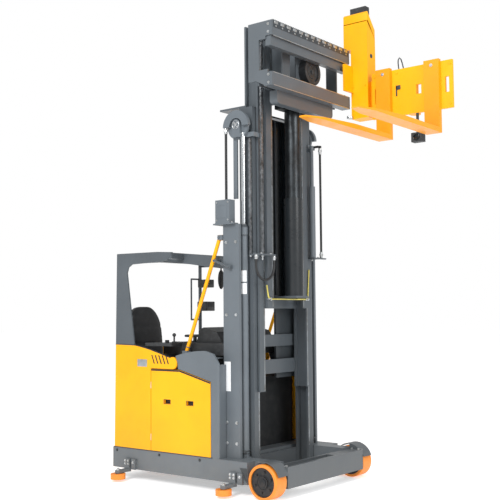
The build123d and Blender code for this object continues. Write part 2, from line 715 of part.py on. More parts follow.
# Traverse frame: two rails across the truck on a carriage that rides in the inner mast
rail_rear_x = rail_front_x - rail_depth
plate_front_x = carriage_plate_x + carriage_plate
traverse = box(rail_rear_x, rail_front_x, -rail_half_length, rail_half_length, upper_rail_bottom, upper_rail_top)
traverse += box(
    rail_rear_x, rail_front_x, -rail_half_length, rail_half_length, lower_rail_bottom, lower_rail_top
)
web_half = rail_half_length - 13
traverse += box(rail_rear_x + 10, rail_front_x - 22, -web_half, web_half, upper_rail_bottom - 88, upper_rail_bottom)
end_outline = (
    (128, 3600),
    (212, 3600),
    (rail_rear_x + 20, lower_rail_bottom),
    (rail_rear_x + 40, 3690),
    (245, 3690),
    (245, 3962),
    (rail_rear_x + 20, 3962),
    (rail_rear_x + 20, upper_rail_top),
    (128, upper_rail_top),
)
traverse += both_sides(side_plate(end_outline, rail_half_length - 20, rail_half_length))
for z0, z1 in ((3990, 4100), (3560, 3660)):
    traverse += box(carriage_plate_x, plate_front_x, 20 - rail_half_length, rail_half_length - 20, z0, z1)
for y0, y1 in ((-262, -140), (-46, 82), (140, 262)):
    traverse += box(carriage_plate_x, plate_front_x, y0, y1, 3660, 3990)
cheek_inner = 205.0
cheek_outer = 226.0
traverse += both_sides(box(-30, carriage_plate_x, cheek_inner, cheek_outer, 3480, 4100))
for z0, z1 in ((3560, 3664), (3990, 4100)):
    traverse += both_sides(box(plate_front_x, rail_rear_x, cheek_inner, cheek_outer, z0, z1))
roller_x = (inner_rear_x + inner_front_x) / 2
for z in (3540, 4050):
    traverse += both_sides(bar_y(roller_x, z, cheek_outer, inner_web_y - 6, 46))
lower_beam = box(carriage_plate_x + 8, rail_rear_x + 6, -450, 450, 3428, lower_rail_bottom)
lower_beam = fillet(lower_beam.edges().filter_by(Axis.X).group_by(Axis.Z)[0], 40)
traverse += lower_beam
traverse += box(carriage_plate_x, rail_rear_x, -240, 240, lower_rail_bottom - 20, lower_rail_bottom + 20)
write("traverse_frame", traverse)

# Traverse motor between the rails
motor_y = 125.0
motor_z = 3826.0
motor_plane = Plane(origin=(plate_front_x, motor_y, motor_z), z_dir=(1, 0, 0))
traverse_motor = motor_plane * Pos(0, 0, 38) * Cylinder(128, 76)
traverse_motor -= motor_plane * Pos(0, 0, 72) * Cylinder(95, 16)
write("traverse_motor", traverse_motor)

# Traverse carriage: the tower beside the rails, with the arm that carries the head's pivot
lower_tower_x = rail_front_x + rail_gap
tower = box(lower_tower_x, tower_front_x, tower_front_y, tower_back_y, tower_bottom, tower_top)
tower += box(tower_rear_x, lower_tower_x, tower_front_y, tower_back_y, upper_rail_top + 14, tower_top)
slope = make_face(
    Polyline(
        (0, tower_front_y + 20, tower_top + 1),
        (0, tower_back_y + 1, tower_back_top),
        (0, tower_back_y + 1, tower_top + 1),
        close=True,
    )
)
tower -= Pos(tower_rear_x - 1, 0, 0) * extrude(slope, amount=400, dir=(1, 0, 0))
arm_y0 = pivot_y - arm_half_width
arm_y1 = pivot_y + arm_half_width
knuckle_height = 60.0
tower += box(tower_front_x, pivot_x - pivot_radius - 20, arm_y0, arm_y1, arm_bottom, arm_top)
for z in (arm_bottom, arm_top - knuckle_height):
    tower += post(pivot_x, pivot_y, z, z + knuckle_height, pivot_radius)
    tower += box(pivot_x - pivot_radius - 24, pivot_x, arm_y0, arm_y1, z, z + knuckle_height)
tower -= post(pivot_x, pivot_y, arm_bottom - 1, arm_top + 1, pivot_pin_radius + running_gap)
tower += box(lower_tower_x, lower_tower_x + 24, tower_front_y - tower_depth, tower_front_y, 3700, 3960)
write("traverse_carriage", tower)
motor_y0 = tower_front_y + 32
motor_top = tower_top + swivel_motor_rise
write("swivel_motor", box(385, 560, motor_y0, motor_y0 + 70, tower_back_top, motor_top) - tower)

# Turning fork head: a slotted plate with pivot lugs on the pin
head_left = pivot_x - head_half_length
head_right = pivot_x + head_half_length
head_back_y = head_plate_front_y + head_plate
lug_gap = 6.0
lug_half = 50.0
pin_bottom = arm_bottom - 66
pin_top = arm_top + 30
head = box(head_left, head_right, head_plate_front_y, head_back_y, head_bottom, head_top)
slots = ((1392, 1432, 3560, 3706), (660, 700, 3560, 3706), (1100, 1150, 3590, 3680))
for x0, x1, z0, z1 in slots:
    head -= box(x0, x1, 0, head_back_y + 1, z0, z1)
head += post(pivot_x, pivot_y, pin_bottom, pin_top, pivot_pin_radius)
for z0, z1 in ((pin_bottom, arm_bottom - lug_gap), (arm_top + lug_gap, pin_top)):
    head += post(pivot_x, pivot_y, z0, z1, pivot_radius)
    head += box(pivot_x - lug_half, pivot_x + lug_half, head_back_y, pivot_y, z0, z1)
write("fork_head", head)

# Forks hooked on the head, tapered in plan and in thickness
shank_front_y = head_plate_front_y - fork_thickness
tip_y = shank_front_y - fork_blade
tip_inset = 45.0
tip_length = 200.0
taper_length = 700.0
tip_thickness = 12.0
shank_top = head_top + 16
for number, centre_x in ((1, 769.0), (2, 1276.0)):
    x0 = centre_x - fork_width / 2
    x1 = centre_x + fork_width / 2
    shank = box(x0, x1, shank_front_y, head_plate_front_y, fork_bottom, shank_top)
    blade_plan = make_face(
        Polyline(
            (x0, shank_front_y, fork_bottom),
            (x1, shank_front_y, fork_bottom),
            (x1, tip_y + tip_length, fork_bottom),
            (x1 - tip_inset, tip_y, fork_bottom),
            (x0 + tip_inset, tip_y, fork_bottom),
            (x0, tip_y + tip_length, fork_bottom),
            close=True,
        )
    )
    blade = extrude(blade_plan, amount=fork_thickness, dir=(0, 0, 1))
    wedge = make_face(
        Polyline(
            (x0 - 1, tip_y - 1, fork_bottom + tip_thickness),
            (x0 - 1, tip_y - 1, fork_bottom + 2 * fork_thickness),
            (x0 - 1, tip_y + taper_length, fork_bottom + 2 * fork_thickness),
            (x0 - 1, tip_y + taper_length, fork_bottom + fork_thickness),
            close=True,
        )
    )
    blade -= extrude(wedge, amount=fork_width + 2, dir=(1, 0, 0))
    write(f"fork_{number}", shank + blade)

# Camera below the head, on a short stem
camera = post(pivot_x + 52, 676, 3225, head_bottom, 13)
camera += box(pivot_x, pivot_x + 110, 640, 712, 3138, 3225)
write("fork_camera", camera)
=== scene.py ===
import json
import math

import bmesh
import bpy
from mathutils import Matrix, Vector

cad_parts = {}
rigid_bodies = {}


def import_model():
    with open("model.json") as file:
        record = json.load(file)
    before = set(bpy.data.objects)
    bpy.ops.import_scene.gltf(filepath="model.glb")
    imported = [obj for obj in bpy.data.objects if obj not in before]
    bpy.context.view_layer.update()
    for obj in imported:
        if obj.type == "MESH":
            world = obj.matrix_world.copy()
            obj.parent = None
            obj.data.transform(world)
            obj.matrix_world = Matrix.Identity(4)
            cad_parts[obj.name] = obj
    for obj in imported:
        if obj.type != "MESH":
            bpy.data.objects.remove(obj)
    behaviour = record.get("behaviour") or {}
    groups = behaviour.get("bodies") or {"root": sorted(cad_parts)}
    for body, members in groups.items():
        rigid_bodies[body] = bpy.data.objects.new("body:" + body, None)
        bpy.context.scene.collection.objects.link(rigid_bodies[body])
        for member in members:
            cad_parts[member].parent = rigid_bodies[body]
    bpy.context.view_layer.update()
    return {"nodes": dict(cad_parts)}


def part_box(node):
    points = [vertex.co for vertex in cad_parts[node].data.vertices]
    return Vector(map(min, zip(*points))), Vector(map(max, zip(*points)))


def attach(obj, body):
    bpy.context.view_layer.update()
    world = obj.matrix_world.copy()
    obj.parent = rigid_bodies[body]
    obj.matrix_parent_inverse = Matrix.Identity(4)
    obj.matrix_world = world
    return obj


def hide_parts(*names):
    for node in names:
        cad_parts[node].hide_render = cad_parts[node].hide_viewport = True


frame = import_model()
nodes = frame["nodes"]

# Camera: off the truck's right front corner, at eye height, looking slightly up.
# Its place, turn and lens were fitted to the outlines of the wheels, doors and mast.
turn, rise, roll = (math.radians(angle) for angle in (38.3, 3.97, -0.47))
ahead = Vector((-math.sin(turn) * math.cos(rise), math.cos(turn) * math.cos(rise), math.sin(rise)))
level = Vector((math.cos(turn), math.sin(turn), 0))
upward = level.cross(ahead)
right = level * math.cos(roll) + upward * math.sin(roll)
above = upward * math.cos(roll) - level * math.sin(roll)
camera_place = Matrix((right, above, -ahead)).transposed().to_4x4()
camera_place.translation = (4.998186, -6.797888, 1.57)
camera = bpy.data.objects.new("camera", bpy.data.cameras.new("camera"))
camera.data.sensor_width = 36
camera.data.lens = 64.8
camera.data.clip_end = 200
camera.matrix_world = camera_place
bpy.context.collection.objects.link(camera)
bpy.context.scene.camera = camera
bpy.context.scene.view_settings.view_transform = "Standard"


# Floor and light: one pale matt sheet, and soft white light from all round with two large
# lamps. The floor's colour is near white, so only the shadow under the truck shows on it.
def linear(code):
    """The linear colour of an sRGB hex code."""
    parts = [int(code[i : i + 2], 16) / 255 for i in (0, 2, 4)]
    return tuple(p / 12.92 if p <= 0.04045 else ((p + 0.055) / 1.055) ** 2.4 for p in parts) + (1.0,)


def add(tree, kind, inputs=None, **settings):
    """Adds one shader node, with its settings, and its inputs given as values or as sockets."""
    made = tree.nodes.new(kind)
    for name, value in settings.items():
        setattr(made, name, value)
    for name, value in (inputs or {}).items():
        if isinstance(value, bpy.types.NodeSocket):
            tree.links.new(value, made.inputs[name])
        else:
            made.inputs[name].default_value = value
    return made


def blank(name):
    """A new material with its node tree and its shader."""
    material = bpy.data.materials.new(name)
    material.use_nodes = True
    shader = material.node_tree.nodes["Principled BSDF"]
    return material, material.node_tree, shader


floor_reach = 60
floor_corners = [
    (-floor_reach, -floor_reach, 0),
    (floor_reach, -floor_reach, 0),
    (floor_reach, floor_reach, 0),
    (-floor_reach, floor_reach, 0),
]
floor_mesh = bpy.data.meshes.new("floor")
floor_mesh.from_pydata(floor_corners, [], [(0, 1, 2, 3)])
floor = bpy.data.objects.new("floor", floor_mesh)
bpy.context.collection.objects.link(floor)
floor_paint, tree, shader = blank("pale_floor")
place = add(tree, "ShaderNodeTexCoord").outputs["Object"]
cloud = add(tree, "ShaderNodeTexNoise", {"Vector": place, "Scale": 0.7, "Detail": 3})
tone = add(
    tree,
    "ShaderNodeMixRGB",
    {"Fac": cloud.outputs["Fac"], "Color1": linear("FBFBFB"), "Color2": linear("FFFFFF")},
)
tree.links.new(tone.outputs["Color"], shader.inputs["Base Color"])
shader.inputs["Roughness"].default_value = 0.95
shader.inputs["Specular IOR Level"].default_value = 0.1
shader.inputs["Emission Color"].default_value = (1, 1, 1, 1)
shader.inputs["Emission Strength"].default_value = 0.42
floor_mesh.materials.append(floor_paint)

world = bpy.data.worlds.new("studio")
bpy.context.scene.world = world
world.use_nodes = True
tree = world.node_tree
backdrop = tree.nodes["Background"]
backdrop.inputs["Color"].default_value = (1, 1, 1, 1)
backdrop.inputs["Strength"].default_value = 0.62
seen = add(tree, "ShaderNodeBackground", {"Color": (1, 1, 1, 1), "Strength": 1.0})
path = add(tree, "ShaderNodeLightPath")
either = add(tree, "ShaderNodeMixShader", {"Fac": path.outputs["Is Camera Ray"]})
tree.links.new(backdrop.outputs["Background"], either.inputs[1])
tree.links.new(seen.outputs["Background"], either.inputs[2])
tree.links.new(either.outputs["Shader"], tree.nodes["World Output"].inputs["Surface"])
lamp_size = 4.0
for name, spot, target, power in (
    ("key", (1.5, -9.0, 7.5), (-0.2, 0, 1.8), 780),
    ("side", (8.5, -1.0, 5.5), (0.3, 0, 2.2), 330),
):
    lamp = bpy.data.objects.new(name, bpy.data.lights.new(name, "AREA"))
    lamp.data.size = lamp_size
    lamp.data.energy = power
    lamp.location = spot
    lamp.rotation_euler = (Vector(target) - Vector(spot)).to_track_quat("-Z", "Y").to_euler()
    bpy.context.collection.objects.link(lamp)


# Chassis: bent and welded steel plate in mid grey gloss paint. A weld bead runs along the top
# edge of each skirt, a flat dark plate at its front end is painted shade for a folded corner,
# and three bolts on each side hold the body down.
def paint(name, colour, scuff, dust, roughness, coat):
    """Sprayed enamel on steel: tone that drifts, orange peel, pale scuffs, and dust lower down."""
    clouds_per_metre = 2.2
    scratches_per_metre = 60
    patches_per_metre = 9
    peel_per_metre = 420
    material, tree, shader = blank(name)
    place = add(tree, "ShaderNodeTexCoord").outputs["Object"]
    cloud = add(
        tree,
        "ShaderNodeTexNoise",
        {"Vector": place, "Scale": clouds_per_metre, "Detail": 5, "Roughness": 0.6},
    )
    shade = add(
        tree,
        "ShaderNodeMapRange",
        {"Value": cloud.outputs["Fac"], "From Min": 0.3, "From Max": 0.7, "To Min": 0.90, "To Max": 1.08},
    )
    toned = add(tree, "ShaderNodeHueSaturation", {"Color": linear(colour), "Value": shade.outputs["Result"]})
    streak = add(tree, "ShaderNodeMapping", {"Vector": place, "Scale": (1.0, 1.0, 0.12)})
    scratch = add(
        tree,
        "ShaderNodeTexNoise",
        {"Vector": streak.outputs["Vector"], "Scale": scratches_per_metre, "Detail": 8, "Roughness": 0.75},
    )
    marks = add(
        tree,
        "ShaderNodeMapRange",
        {"Value": scratch.outputs["Fac"], "From Min": 0.66, "From Max": 0.74, "To Min": 0.0, "To Max": 0.55},
    )
    scuffed = add(
        tree,
        "ShaderNodeMixRGB",
        {"Fac": marks.outputs["Result"], "Color1": toned.outputs["Color"], "Color2": linear(scuff)},
    )
    height = add(tree, "ShaderNodeSeparateXYZ", {"Vector": place})
    low = add(
        tree,
        "ShaderNodeMapRange",
        {"Value": height.outputs["Z"], "From Min": 0.0, "From Max": 0.75, "To Min": 0.30, "To Max": 0.0},
    )
    patch = add(
        tree,
        "ShaderNodeTexNoise",
        {"Vector": place, "Scale": patches_per_metre, "Detail": 6, "Roughness": 0.7},
    )
    grime = add(
        tree,
        "ShaderNodeMath",
        {0: low.outputs["Result"], 1: patch.outputs["Fac"]},
        operation="MULTIPLY",
    )
    dusty = add(
        tree,
        "ShaderNodeMixRGB",
        {"Fac": grime.outputs["Value"], "Color1": scuffed.outputs["Color"], "Color2": linear(dust)},
    )
    tree.links.new(dusty.outputs["Color"], shader.inputs["Base Color"])
    gloss = add(
        tree,
        "ShaderNodeMapRange",
        {
            "Value": patch.outputs["Fac"],
            "From Min": 0.3,
            "From Max": 0.75,
            "To Min": roughness - 0.06,
            "To Max": roughness + 0.14,
        },
    )
    tree.links.new(gloss.outputs["Result"], shader.inputs["Roughness"])
    peel = add(tree, "ShaderNodeTexNoise", {"Vector": place, "Scale": peel_per_metre, "Detail": 2})
    bump = add(tree, "ShaderNodeBump", {"Height": peel.outputs["Fac"], "Strength": 0.12, "Distance": 0.0006})
    tree.links.new(bump.outputs["Normal"], shader.inputs["Normal"])
    shader.inputs["Specular IOR Level"].default_value = 0.32
    shader.inputs["Coat Weight"].default_value = coat
    shader.inputs["Coat Roughness"].default_value = 0.2
    return material


def metal(name, colour, stain, roughness, stretch, metallic=1.0):
    """Bare or plated steel: brushed along one direction, with darker stains in patches."""
    brush_lines_per_metre = 180
    stains_per_metre = 14
    material, tree, shader = blank(name)
    place = add(tree, "ShaderNodeTexCoord").outputs["Object"]
    drawn_out = add(tree, "ShaderNodeMapping", {"Vector": place, "Scale": stretch})
    grain = add(
        tree,
        "ShaderNodeTexNoise",
        {"Vector": drawn_out.outputs["Vector"], "Scale": brush_lines_per_metre, "Detail": 4},
    )
    spots = add(
        tree,
        "ShaderNodeTexNoise",
        {"Vector": place, "Scale": stains_per_metre, "Detail": 7, "Roughness": 0.7},
    )
    fade = add(
        tree,
        "ShaderNodeMapRange",
        {"Value": spots.outputs["Fac"], "From Min": 0.42, "From Max": 0.68, "To Min": 0.0, "To Max": 0.8},
    )
    tone = add(
        tree,
        "ShaderNodeMixRGB",
        {"Fac": fade.outputs["Result"], "Color1": linear(colour), "Color2": linear(stain)},
    )
    tree.links.new(tone.outputs["Color"], shader.inputs["Base Color"])
    gloss = add(
        tree,
        "ShaderNodeMapRange",
        {
            "Value": grain.outputs["Fac"],
            "From Min": 0.3,
            "From Max": 0.7,
            "To Min": roughness,
            "To Max": roughness + 0.15,
        },
    )
    tree.links.new(gloss.outputs["Result"], shader.inputs["Roughness"])
    bump = add(tree, "ShaderNodeBump", {"Height": grain.outputs["Fac"], "Strength": 0.15, "Distance": 0.0004})
    tree.links.new(bump.outputs["Normal"], shader.inputs["Normal"])
    shader.inputs["Metallic"].default_value = metallic
    return material


def dress(material, *names):
    """Gives CAD nodes their material."""
    for name in names:
        mesh = nodes[name].data
        mesh.materials.clear()
        mesh.materials.append(material)


def begin(name):
    """A new piece in edit mode, empty, to which primitives are added at their size and place."""
    bpy.ops.object.select_all(action="DESELECT")
    piece = bpy.data.objects.new(name, bpy.data.meshes.new(name))
    bpy.context.collection.objects.link(piece)
    bpy.context.view_layer.objects.active = piece
    piece.select_set(True)
    bpy.ops.object.mode_set(mode="EDIT")
    bpy.ops.mesh.select_mode(type="FACE")
    return piece


def finish_piece(piece, body, material, smooth=35):
    """Turns the piece's faces outwards, gives it its material and puts it on a body of the truck."""
    bpy.ops.object.mode_set(mode="EDIT")
    bpy.ops.mesh.select_all(action="SELECT")
    bpy.ops.mesh.normals_make_consistent(inside=False)
    bpy.ops.object.mode_set(mode="OBJECT")
    piece.data.materials.append(material)
    bpy.ops.object.shade_smooth_by_angle(angle=math.radians(smooth))
    piece.select_set(False)
    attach(piece, body)


def round_edges(width):
    """Rounds the selected edges, and lets go of what was selected."""
    if width:
        bpy.ops.mesh.bevel(offset=width, segments=2, affect="EDGES", profile=0.6, loop_slide=False)
    bpy.ops.mesh.select_all(action="DESELECT")


def add_round(start, end, radius, sides=32, bevel=0.0):
    """A round bar or disc between two points, with its rims rounded."""
    start, end = Vector(start), Vector(end)
    along = end - start
    bpy.ops.mesh.primitive_cone_add(
        vertices=sides,
        radius1=radius,
        radius2=radius,
        depth=along.length,
        end_fill_type="NGON",
        location=(start + end) / 2,
        rotation=along.to_track_quat("Z", "Y").to_euler(),
    )
    drawn = bmesh.from_edit_mesh(bpy.context.edit_object.data)
    for face in drawn.faces:
        if face.select and len(face.verts) != sides:
            face.select = False
    drawn.select_flush_mode()
    round_edges(bevel)


def add_bolt(base, direction, across=0.018, height=0.008):
    """A hexagon head with its washer and its turned top, standing on a surface."""
    base, direction = Vector(base), Vector(direction).normalized()
    add_round(base, base + direction * height * 0.25, across * 0.72, 20)
    add_round(base, base + direction * height, across * 0.577, 6)
    add_round(base, base + direction * height * 1.12, across * 0.40, 20)


def add_slab(outline, push, bevel=0.0):
    """A flat plate: an outline's face, pushed out to its thickness, with its edges rounded."""
    drawn = bmesh.from_edit_mesh(bpy.context.edit_object.data)
    face = drawn.faces.new([drawn.verts.new(point) for point in outline])
    face.select = True
    drawn.select_flush_mode()
    bmesh.update_edit_mesh(bpy.context.edit_object.data)
    bpy.ops.mesh.extrude_region_move(TRANSFORM_OT_translate={"value": push})
    bpy.ops.mesh.select_linked()
    round_edges(bevel)


def add_plate(outline, y0, y1, bevel=0.0):
    """A flat plate cut to an outline in X and Z, between two Y positions."""
    add_slab([(x, y0, z) for x, z in outline], (0, y1 - y0, 0), bevel)


def add_tube(points, radius, sides=12):
    """A round tube along a bent line of points, closed at both ends."""
    drawn = bmesh.from_edit_mesh(bpy.context.edit_object.data)
    points = [Vector(point) for point in points]
    across = (points[1] - points[0]).orthogonal().normalized()
    loops = []
    for i, point in enumerate(points):
        before = points[max(i - 1, 0)]
        after = points[min(i + 1, len(points) - 1)]
        along = (after - before).normalized()
        across = (across - along * across.dot(along)).normalized()
        other = along.cross(across)
        loop = []
        for j in range(sides):
            angle = 2 * math.pi * j / sides
            spot = point + (across * math.cos(angle) + other * math.sin(angle)) * radius
            loop.append(drawn.verts.new(spot))
        loops.append(loop)
    for one, two in zip(loops, loops[1:]):
        for j in range(sides):
            drawn.faces.new((one[j], one[(j + 1) % sides], two[(j + 1) % sides], two[j]))
    drawn.faces.new(loops[0][::-1])
    drawn.faces.new(loops[-1])
    bmesh.update_edit_mesh(bpy.context.edit_object.data)


grey_paint = paint("mid_grey_gloss_paint", "60676D", "8E9498", "8C877C", 0.36, 0.12)
dark_paint = paint("dark_grey_satin_paint", "363B3F", "6E7274", "6F6A60", 0.42, 0.1)
dress(grey_paint, "chassis_frame", "guide_roller_brackets")
skirt_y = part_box("chassis_frame")[1].y + 0.0005
bead_step = 0.05
folded_corner_shade_outline = ((0.061, 0.239), (0.135, 0.239), (0.135, 0.120), (0.115, 0.143))
piece = begin("skirt_fittings")
for side in (-1, 1):
    y = side * skirt_y
    bead = [(-1.50 + bead_step * i, y + side * 0.0008 * (i % 2), 0.292) for i in range(26)]
    add_tube(bead, 0.004, 8)
    # Painted shade: this flat dark plate stands for the shade on the skirt's folded front corner.
    add_plate(folded_corner_shade_outline, y, y + side * 0.004, 0.0008)
    for x in (-1.46, -0.90, -0.40):
        add_bolt((x, y, 0.262), (0, side, 0))
finish_piece(piece, "truck", dark_paint)

# Front beam: folded plate with an open channel along its top, in the mast's grey enamel.
# A weld bead runs along each of its ends, and two zinc-plated bolts hold each mast foot.
mast_paint = paint("mast_grey_paint", "50565B", "868B8F", "7C786E", 0.36, 0.12)
zinc = metal("zinc_plated_steel", "C9CCCE", "9A9890", 0.28, (1, 1, 1))
dress(mast_paint, "load_wheel_beam")
beam_top_z = 0.272
piece = begin("beam_fittings")
for side in (-1, 1):
    add_tube([(0.352 + 0.006 * i, side * 0.602, beam_top_z + 0.002) for i in range(23)], 0.004, 8)
    for x in (0.385, 0.455):
        add_bolt((x, side * 0.575, beam_top_z), (0, 0, 1), 0.020, 0.010)
finish_piece(piece, "truck", zinc)


# Load wheels: orange polyurethane bonded on a black cast hub. A mould line runs round the
# tread, with a bead at each shoulder; the hub has two turned rings, six bolts and a cap.
def moulded(name, colour, worn, roughness, grain_per_metre, grain_depth, wear=0.35):
    """Rubber, moulded plastic or leather: a fine pebbled grain, and a paler tone where worn."""
    worn_spots_per_metre = 16
    material, tree, shader = blank(name)
    place = add(tree, "ShaderNodeTexCoord").outputs["Object"]
    cloud = add(
        tree,
        "ShaderNodeTexNoise",
        {"Vector": place, "Scale": worn_spots_per_metre, "Detail": 7, "Roughness": 0.65},
    )
    fade = add(
        tree,
        "ShaderNodeMapRange",
        {"Value": cloud.outputs["Fac"], "From Min": 0.45, "From Max": 0.75, "To Min": 0.0, "To Max": wear},
    )
    tone = add(
        tree,
        "ShaderNodeMixRGB",
        {"Fac": fade.outputs["Result"], "Color1": linear(colour), "Color2": linear(worn)},
    )
    tree.links.new(tone.outputs["Color"], shader.inputs["Base Color"])
    gloss = add(
        tree,
        "ShaderNodeMapRange",
        {
            "Value": cloud.outputs["Fac"],
            "From Min": 0.3,
            "From Max": 0.7,
            "To Min": roughness,
            "To Max": roughness + 0.12,
        },
    )
    tree.links.new(gloss.outputs["Result"], shader.inputs["Roughness"])
    cells = add(tree, "ShaderNodeTexVoronoi", {"Vector": place, "Scale": grain_per_metre})
    bump = add(
        tree,
        "ShaderNodeBump",
        {"Height": cells.outputs["Distance"], "Strength": 0.5, "Distance": grain_depth},
    )
    tree.links.new(bump.outputs["Normal"], shader.inputs["Normal"])
    return material


def add_ring(centre, axis, radius, thickness, rings=48, sides=10):
    """A round ring of round section."""
    bpy.ops.mesh.primitive_torus_add(
        major_radius=radius,
        minor_radius=thickness,
        major_segments=rings,
        minor_segments=sides,
        location=centre,
        rotation=Vector(axis).to_track_quat("Z", "Y").to_euler(),
    )
    bpy.ops.mesh.select_all(action="DESELECT")


orange_rubber = moulded("orange_polyurethane", "E98A2C", "A9682C", 0.42, 260, 0.0006)
cast_iron = metal("black_cast_iron", "2B2D2F", "4A4440", 0.45, (1, 1, 1), 0.5)
dress(orange_rubber, "load_tyre_right", "load_tyre_left")
dress(cast_iron, "load_wheel_hub_right", "load_wheel_hub_left", "load_axles")
axle_x = 0.34
axle_z = 0.15
bolt_circle = 0.088
for side_name, side in (("right", -1), ("left", 1)):
    piece = begin(f"tyre_beads_{side_name}")
    add_ring((axle_x, side * 0.687, axle_z), (0, 1, 0), 0.1498, 0.0007, 72, 6)
    for y in (0.613, 0.761):
        add_ring((axle_x, side * y, axle_z), (0, 1, 0), 0.128, 0.0016, 64, 8)
    finish_piece(piece, f"{side_name}_load_wheel", orange_rubber)
    piece = begin(f"hub_details_{side_name}")
    face_y = side * 0.748
    add_ring((axle_x, face_y, axle_z), (0, 1, 0), 0.117, 0.004, 64, 10)
    add_ring((axle_x, face_y, axle_z), (0, 1, 0), 0.060, 0.003, 48, 8)
    for i in range(6):
        angle = math.radians(60 * i + 20)
        spot = (axle_x + bolt_circle * math.cos(angle), face_y, axle_z + bolt_circle * math.sin(angle))
        add_bolt(spot, (0, side, 0), 0.019, 0.009)
    add_round((axle_x, side * 0.756, axle_z), (axle_x, side * 0.7605, axle_z), 0.034, 32, 0.0015)
    finish_piece(piece, f"{side_name}_load_wheel", cast_iron)

# Guide rollers: orange polyurethane discs on upright pins, each with a nut above its arm.
# Each arm's pad is bolted to the skirt with four small bolts and a larger one in front.
dress(
    orange_rubber,
    "guide_roller_rear_right",
    "guide_roller_front_right",
    "guide_roller_rear_left",
    "guide_roller_front_left",
)
roller_y = 0.848
arm_top_z = 0.103
pad_y = 0.736
piece = begin("roller_bolts")
for x in (-1.301, -0.008):
    for side in (-1, 1):
        y = side * roller_y
        add_bolt((x, y, arm_top_z), (0, 0, 1), 0.030, 0.014)
        add_round((x, y, arm_top_z), (x, y, arm_top_z + 0.021), 0.008, 16, 0.001)
        for dx in (-0.020, 0.020):
            for z in (0.150, 0.178):
                add_bolt((x + dx, side * pad_y, z), (0, side, 0), 0.016, 0.007)
        add_bolt((x + 0.085, side * pad_y, 0.165), (0, side, 0), 0.018, 0.008)
finish_piece(piece, "truck", zinc)

# Drive unit under the cab: an orange drive wheel in a cast iron fork, with its motor on top,
# on a dark painted mount. The battery behind the doors is a black moulded case.
black_case = moulded("black_battery_case", "1D1F21", "4A4A48", 0.5, 90, 0.0004)
dress(orange_rubber, "drive_wheel")
dress(cast_iron, "drive_unit", "traction_motor")
dress(dark_paint, "drive_mount", "cab_floor")
dress(black_case, "battery")


# Battery doors: yellow enamel on folded sheet, with pressed finger holes lined in black and
# a black rubber strip along the top edge. Two zinc-plated knuckles hinge each rear edge.
def add_box(low, high, bevel=0.0, lean=0.0):
    """A box with rounded edges between two corners, leaned about its middle over the Y axis."""
    low, high = Vector(low), Vector(high)
    bpy.ops.mesh.primitive_cube_add(
        size=1, location=(low + high) / 2, scale=high - low, rotation=(0, math.radians(lean), 0)
    )
    round_edges(bevel)


yellow_paint = paint("yellow_gloss_enamel", "F8AC00", "F2B41E", "A87A20", 0.36, 0.0)
black_trim = moulded("black_rubber_trim", "17181A", "3A3A3A", 0.55, 300, 0.0003)
dress(yellow_paint, "battery_door_right", "battery_door_left", "rear_cover")
hole_z = 0.755
rim_strips = (
    # x0, z0, x1, z1 from the hole's middle
    (-0.043, 0.017, 0.043, 0.021),
    (-0.043, -0.021, 0.043, -0.017),
    (-0.043, -0.017, -0.038, 0.017),
    (0.038, -0.017, 0.043, 0.017),
)
door_top_strip = (
    (-1.000, 1.049),
    (-0.641, 1.049),
    (-0.272, 0.954),
    (-0.272, 0.940),
    (-0.642, 1.034),
    (-1.000, 1.034),
)
hinge_x = -1.0045
knuckle_half = 0.03
for side_name, side in (("right", -1), ("left", 1)):
    piece = begin(f"door_trim_{side_name}")
    rim_y0, rim_y1 = sorted((side * 0.709, side * 0.7125))
    floor_y0, floor_y1 = sorted((side * 0.684, side * 0.687))
    for x in (-0.797, -0.516):
        for x0, z0, x1, z1 in rim_strips:
            add_box((x + x0, rim_y0, hole_z + z0), (x + x1, rim_y1, hole_z + z1), 0.0008)
        add_box((x - 0.042, floor_y0, hole_z - 0.021), (x + 0.042, floor_y1, hole_z + 0.021), 0.0008)
    add_plate(door_top_strip, side * 0.709, side * 0.7118, 0.0006)
    finish_piece(piece, f"{side_name}_door", black_trim)
    piece = begin(f"door_hinges_{side_name}")
    for z in (0.42, 0.90):
        y = side * 0.7105
        add_round((hinge_x, y, z - knuckle_half), (hinge_x, y, z + knuckle_half), 0.0038, 16, 0.0008)
    finish_piece(piece, "truck", zinc)

# Rear cover: yellow enamel shell with five slanted cooling louvres a side near its nose and a
# black rubber strip along the top. A bare grey plate sits behind the louvres.
cover_top_line = (
    (-1.484, 1.2712),
    (-1.354, 1.2706),
    (-1.218, 1.2642),
    (-1.118, 1.2485),
    (-1.018, 1.2262),
    (-0.888, 1.1925),
    (-0.762, 1.1575),
)
louvre_pitch = 0.045
piece = begin("louvres_and_trim")
for side in (-1, 1):
    for i in range(5):
        x = -1.000 + louvre_pitch * i
        louvre = ((x, 1.179), (x + 0.014, 1.179), (x + 0.046, 1.100), (x + 0.032, 1.100))
        add_plate(louvre, side * 0.7092, side * 0.7116, 0.0006)
    add_tube([(x, side * 0.704, z + 0.003) for x, z in cover_top_line], 0.007, 12)
finish_piece(piece, "truck", black_trim)
plate_steel = metal("bare_plate_steel", "A8AEB2", "8A8E90", 0.35, (1, 6, 1), 0.7)
bare_plate = ((-1.184, 1.137), (-1.057, 1.137), (-1.057, 1.068), (-1.184, 1.068))
piece = begin("bare_side_plates")
for side in (-1, 1):
    add_plate(bare_plate, side * 0.7095, side * 0.7112, 0.0004)
finish_piece(piece, "truck", plate_steel)


